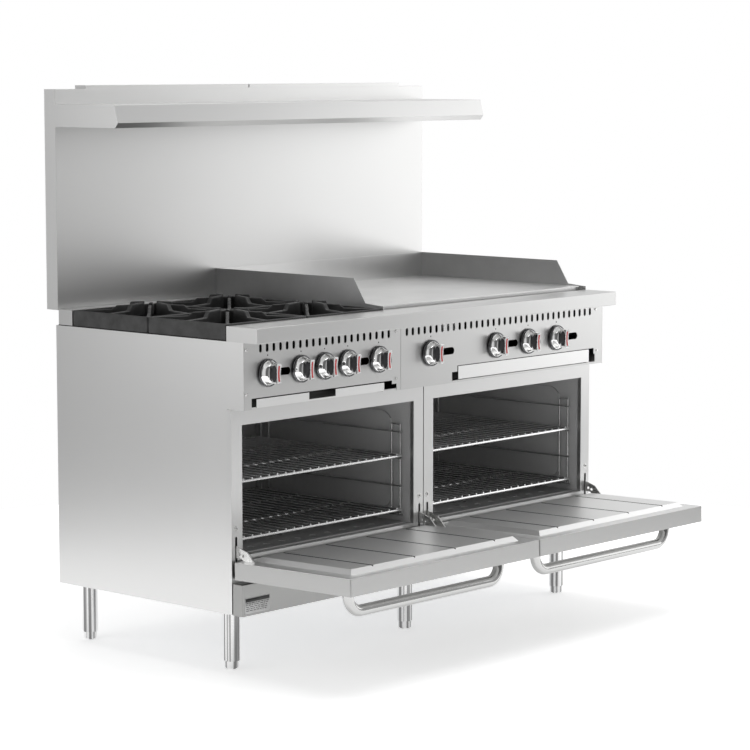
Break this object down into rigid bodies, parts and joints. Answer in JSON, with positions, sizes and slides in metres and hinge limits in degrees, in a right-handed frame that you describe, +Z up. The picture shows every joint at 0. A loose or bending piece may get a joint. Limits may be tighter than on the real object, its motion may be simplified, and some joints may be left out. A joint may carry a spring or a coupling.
{
  "type": "commercial gas range",
  "caption": "Free-standing commercial gas range with open burners, a griddle, two ovens with drop-down doors, a backguard and a high shelf, on levelling legs.",
  "frame": {"origin": "middle of the footprint at floor level, with both oven doors open", "axes": "+Z up, -Y towards the cook, +Y towards the wall and along the gas inlet, +X to the cook's right"},
  "size_m": [1.524, 1.1336, 1.536],
  "materials": {
    "stainless": "brushed stainless sheet, fine horizontal grain",
    "stainless_side": "brushed stainless sheet, fine vertical grain",
    "aluminised": "plain coated steel sheet, matte",
    "griddle_steel": "ground steel plate",
    "black_pipe": "black steel pipe",
    "brass": "machined brass",
    "cast_iron": "rough black casting",
    "chrome_wire": "bright chromed wire",
    "oven_enamel": "dark grey porcelain enamel on steel",
    "knob_chrome": "chromed zinc casting with dark sides and a red line",
    "hinge_steel": "plated pressed steel",
    "mineral_wool": "loose mineral wool"
  },
  "bodies": {
    "range_body": {"back_panel": "aluminised", "backguard": "stainless", "base_frame": "aluminised", "burner_box": "aluminised", "control_panels": "stainless", "door_springs_left": "hinge_steel", "door_springs_right": "hinge_steel", "gas_manifold": "black_pipe", "gas_valves": "brass", "griddle_burners": "aluminised", "griddle_plate": "griddle_steel", "griddle_splash": "stainless", "high_shelf": "stainless", "legs": "stainless", "open_burners": "cast_iron", "oven_burners": "cast_iron", "oven_front_frames": "stainless", "oven_insulation": "mineral_wool", "oven_liner_left": "oven_enamel", "oven_liner_right": "oven_enamel", "panel_screws": "stainless", "rack_guides": "chrome_wire", "side_panels": "stainless_side", "toe_panel": "stainless", "top_rails": "stainless"},
    "crumb_tray": {"crumb_tray": "stainless"},
    "foot_front_1": {"foot_front_1": "stainless"},
    "foot_front_2": {"foot_front_2": "stainless"},
    "foot_front_3": {"foot_front_3": "stainless"},
    "foot_rear_1": {"foot_rear_1": "stainless"},
    "foot_rear_2": {"foot_rear_2": "stainless"},
    "foot_rear_3": {"foot_rear_3": "stainless"},
    "grate_front_left": {"grate_front_left": "cast_iron"},
    "grate_front_right": {"grate_front_right": "cast_iron"},
    "grate_rear_left": {"grate_rear_left": "cast_iron"},
    "grate_rear_right": {"grate_rear_right": "cast_iron"},
    "grease_drawer": {"grease_drawer": "stainless"},
    "knob_burner_1": {"knob_burner_1": "knob_chrome"},
    "knob_burner_2": {"knob_burner_2": "knob_chrome"},
    "knob_burner_3": {"knob_burner_3": "knob_chrome"},
    "knob_burner_4": {"knob_burner_4": "knob_chrome"},
    "knob_griddle_1": {"knob_griddle_1": "knob_chrome"},
    "knob_griddle_2": {"knob_griddle_2": "knob_chrome"},
    "knob_griddle_3": {"knob_griddle_3": "knob_chrome"},
    "knob_oven_left": {"knob_oven_left": "knob_chrome"},
    "knob_oven_right": {"knob_oven_right": "knob_chrome"},
    "oven_rack_left_lower": {"oven_rack_left_lower": "chrome_wire"},
    "oven_rack_left_upper": {"oven_rack_left_upper": "chrome_wire"},
    "oven_rack_right_lower": {"oven_rack_right_lower": "chrome_wire"},
    "oven_rack_right_upper": {"oven_rack_right_upper": "chrome_wire"},
    "door_left": {"door_pan_left": "stainless", "door_inner_left": "stainless", "door_insulation_left": "mineral_wool", "door_handle_left": "stainless", "door_hinges_left": "hinge_steel"},
    "door_right": {"door_pan_right": "stainless", "door_inner_right": "stainless", "door_insulation_right": "mineral_wool", "door_handle_right": "stainless", "door_hinges_right": "hinge_steel"}
  },
  "joints": [
    {"name": "knob_burner_1_turn", "type": "hinge", "parent": "range_body", "child": "knob_burner_1", "pos_m": [-0.673, -0.2082, 0.797], "axis": [0, 1, 0], "range_deg": [0, 180]},
    {"name": "knob_burner_2_turn", "type": "hinge", "parent": "range_body", "child": "knob_burner_2", "pos_m": [-0.547, -0.2082, 0.797], "axis": [0, 1, 0], "range_deg": [0, 180]},
    {"name": "knob_burner_3_turn", "type": "hinge", "parent": "range_body", "child": "knob_burner_3", "pos_m": [-0.365, -0.2082, 0.797], "axis": [0, 1, 0], "range_deg": [0, 180]},
    {"name": "knob_burner_4_turn", "type": "hinge", "parent": "range_body", "child": "knob_burner_4", "pos_m": [-0.241, -0.2082, 0.797], "axis": [0, 1, 0], "range_deg": [0, 180]},
    {"name": "knob_griddle_1_turn", "type": "hinge", "parent": "range_body", "child": "knob_griddle_1", "pos_m": [-0.024, -0.2082, 0.797], "axis": [0, 1, 0], "range_deg": [0, 180]},
    {"name": "knob_griddle_2_turn", "type": "hinge", "parent": "range_body", "child": "knob_griddle_2", "pos_m": [0.26, -0.2082, 0.797], "axis": [0, 1, 0], "range_deg": [0, 180]},
    {"name": "knob_griddle_3_turn", "type": "hinge", "parent": "range_body", "child": "knob_griddle_3", "pos_m": [0.539, -0.2082, 0.797], "axis": [0, 1, 0], "range_deg": [0, 180]},
    {"name": "knob_oven_left_turn", "type": "hinge", "parent": "range_body", "child": "knob_oven_left", "pos_m": [-0.456, -0.2082, 0.797], "axis": [0, 1, 0], "range_deg": [0, 270]},
    {"name": "knob_oven_right_turn", "type": "hinge", "parent": "range_body", "child": "knob_oven_right", "pos_m": [0.407, -0.2082, 0.797], "axis": [0, 1, 0], "range_deg": [0, 270]},
    {"name": "door_left_swing", "type": "hinge", "parent": "range_body", "child": "door_left", "pos_m": [-0.3812, -0.1612, 0.29], "axis": [-1, 0, 0], "range_deg": [0, 88.8], "deforming": ["door_springs_left"]},
    {"name": "door_right_swing", "type": "hinge", "parent": "range_body", "child": "door_right", "pos_m": [0.3812, -0.1612, 0.29], "axis": [-1, 0, 0], "range_deg": [0, 88.8], "deforming": ["door_springs_right"]},
    {"name": "oven_rack_left_lower_slide", "type": "slide", "parent": "range_body", "child": "oven_rack_left_lower", "axis": [0, 1, 0], "range_m": [-0.38, 0]},
    {"name": "oven_rack_left_upper_slide", "type": "slide", "parent": "range_body", "child": "oven_rack_left_upper", "axis": [0, 1, 0], "range_m": [-0.38, 0]},
    {"name": "oven_rack_right_lower_slide", "type": "slide", "parent": "range_body", "child": "oven_rack_right_lower", "axis": [0, 1, 0], "range_m": [-0.38, 0]},
    {"name": "oven_rack_right_upper_slide", "type": "slide", "parent": "range_body", "child": "oven_rack_right_upper", "axis": [0, 1, 0], "range_m": [-0.38, 0]},
    {"name": "crumb_tray_slide", "type": "slide", "parent": "range_body", "child": "crumb_tray", "axis": [0, 1, 0], "range_m": [-0.5, 0]},
    {"name": "grease_drawer_slide", "type": "slide", "parent": "range_body", "child": "grease_drawer", "axis": [0, 1, 0], "range_m": [-0.42, 0]},
    {"name": "grate_front_left_lift", "type": "slide", "parent": "range_body", "child": "grate_front_left", "axis": [0, 0, 1], "range_m": [0, 0.12]},
    {"name": "grate_front_right_lift", "type": "slide", "parent": "range_body", "child": "grate_front_right", "axis": [0, 0, 1], "range_m": [0, 0.12]},
    {"name": "grate_rear_left_lift", "type": "slide", "parent": "range_body", "child": "grate_rear_left", "axis": [0, 0, 1], "range_m": [0, 0.12]},
    {"name": "grate_rear_right_lift", "type": "slide", "parent": "range_body", "child": "grate_rear_right", "axis": [0, 0, 1], "range_m": [0, 0.12]},
    {"name": "foot_front_1_level", "type": "slide", "parent": "range_body", "child": "foot_front_1", "axis": [0, 0, -1], "range_m": [0, 0.03]},
    {"name": "foot_front_2_level", "type": "slide", "parent": "range_body", "child": "foot_front_2", "axis": [0, 0, -1], "range_m": [0, 0.03]},
    {"name": "foot_front_3_level", "type": "slide", "parent": "range_body", "child": "foot_front_3", "axis": [0, 0, -1], "range_m": [0, 0.03]},
    {"name": "foot_rear_1_level", "type": "slide", "parent": "range_body", "child": "foot_rear_1", "axis": [0, 0, -1], "range_m": [0, 0.03]},
    {"name": "foot_rear_2_level", "type": "slide", "parent": "range_body", "child": "foot_rear_2", "axis": [0, 0, -1], "range_m": [0, 0.03]},
    {"name": "foot_rear_3_level", "type": "slide", "parent": "range_body", "child": "foot_rear_3", "axis": [0, 0, -1], "range_m": [0, 0.03]}
  ]
}
